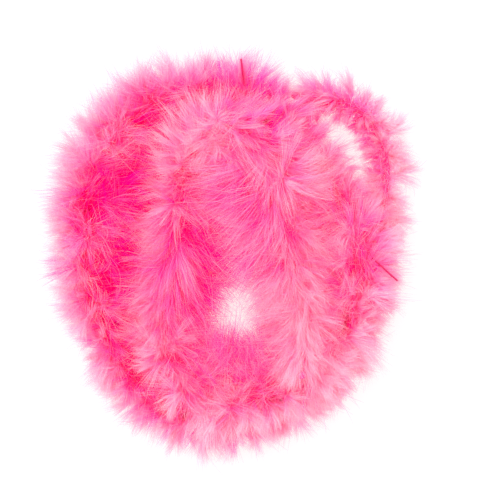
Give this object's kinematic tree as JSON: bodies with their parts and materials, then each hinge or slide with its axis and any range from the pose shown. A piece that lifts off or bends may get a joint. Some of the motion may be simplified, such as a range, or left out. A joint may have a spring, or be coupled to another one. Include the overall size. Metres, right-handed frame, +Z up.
{
  "type": "feather boa",
  "caption": "Marabou feather boa lying in a loose coil: downy plumes bound by their quills to a thin cord, whipped and knotted at both ends.",
  "frame": {"origin": "centre of the coil's bounding box, on the surface that it lies on", "axes": "+Z up from that surface, +Y along the coil's longer side, towards the boa's lower end"},
  "size_m": [0.3418, 0.3787, 0.1191],
  "materials": {
    "plumes": "soft dyed down, hot pink",
    "cord": "twisted cotton cord, dyed",
    "thread": "polyester sewing thread, dyed",
    "quill": "dyed keratin, slightly glossy"
  },
  "bodies": {
    "coil": {"core_cord_coil": "cord", "plume_bunch_04": "plumes", "plume_bunch_05": "plumes", "plume_bunch_06": "plumes", "plume_bunch_07": "plumes", "plume_bunch_08": "plumes", "plume_bunch_09": "plumes", "plume_bunch_10": "plumes", "plume_bunch_11": "plumes", "plume_bunch_12": "plumes", "plume_bunch_13": "plumes", "plume_bunch_14": "plumes", "plume_bunch_15": "plumes", "plume_bunch_16": "plumes", "plume_bunch_17": "plumes", "plume_bunch_18": "plumes", "plume_bunch_19": "plumes", "plume_bunch_20": "plumes", "plume_bunch_21": "plumes", "plume_bunch_22": "plumes", "plume_bunch_23": "plumes", "plume_bunch_24": "plumes", "plume_bunch_25": "plumes", "plume_bunch_26": "plumes", "plume_bunch_27": "plumes", "plume_bunch_28": "plumes", "plume_bunch_29": "plumes", "plume_bunch_30": "plumes", "plume_bunch_31": "plumes", "plume_bunch_32": "plumes", "bare_quill_top": "quill", "bare_quill_side": "quill"},
    "lower_tail_root": {"core_cord_lower_root": "cord", "plume_bunch_03": "plumes"},
    "lower_tail_tip": {"core_cord_lower_tip": "cord", "end_whipping_lower": "thread", "end_knot_lower": "cord", "plume_bunch_01": "plumes", "plume_bunch_02": "plumes"},
    "upper_tail_root": {"core_cord_upper_root": "cord", "plume_bunch_33": "plumes", "plume_bunch_34": "plumes"},
    "upper_tail_tip": {"core_cord_upper_tip": "cord", "end_whipping_upper": "thread", "end_knot_upper": "cord", "plume_bunch_35": "plumes", "plume_bunch_36": "plumes"}
  },
  "joints": [
    {"name": "lower_tail_lift", "type": "hinge", "parent": "coil", "child": "lower_tail_root", "pos_m": [0.13973, 0.04105, 0.03191], "axis": [0.996, -0.089, 0], "range_deg": [0, 30]},
    {"name": "lower_tip_lift", "type": "hinge", "parent": "lower_tail_root", "child": "lower_tail_tip", "pos_m": [0.14302, 0.09084, 0.03194], "axis": [0.9921, 0.1255, 0], "range_deg": [0, 45]},
    {"name": "upper_tail_lift", "type": "hinge", "parent": "coil", "child": "upper_tail_root", "pos_m": [0.02457, 0.10748, 0.08101], "axis": [-0.7035, -0.7107, 0], "range_deg": [0, 40]},
    {"name": "upper_tip_lift", "type": "hinge", "parent": "upper_tail_root", "child": "upper_tail_tip", "pos_m": [0.05515, 0.0143, 0.07065], "axis": [-0.9838, -0.1793, 0], "range_deg": [0, 45]}
  ]
}
